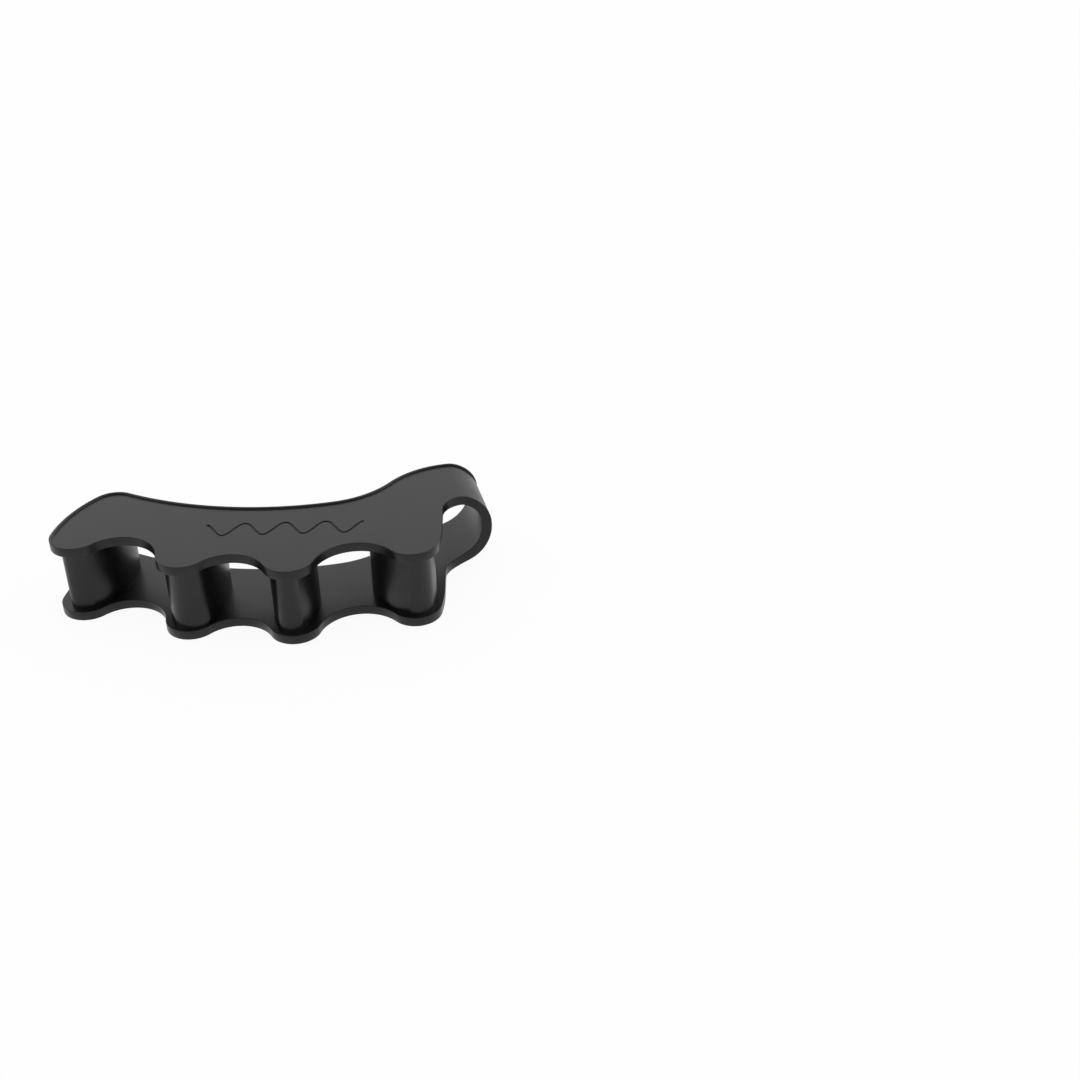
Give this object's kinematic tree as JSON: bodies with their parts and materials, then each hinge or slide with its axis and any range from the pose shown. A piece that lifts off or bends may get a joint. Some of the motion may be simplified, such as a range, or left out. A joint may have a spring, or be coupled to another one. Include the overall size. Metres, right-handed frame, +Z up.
{
  "type": "toe separator",
  "caption": "Soft toe separator: two thin wavy-edged plates held apart by upright posts that leave toe gaps, with a rounded loop for the big toe at one end.",
  "frame": {"origin": "middle of the underside: centre of the bounding box in X and Y, on the resting plane in Z", "axes": "+X along the row of toes from the little toe to the big toe's loop, +Y from the toe tips towards the foot, +Z up"},
  "size_m": [0.1002, 0.048, 0.0199],
  "materials": {
    "toe_separator": "satin black moulded silicone rubber"
  },
  "bodies": {
    "root": {"toe_separator": "toe_separator"}
  },
  "joints": []
}
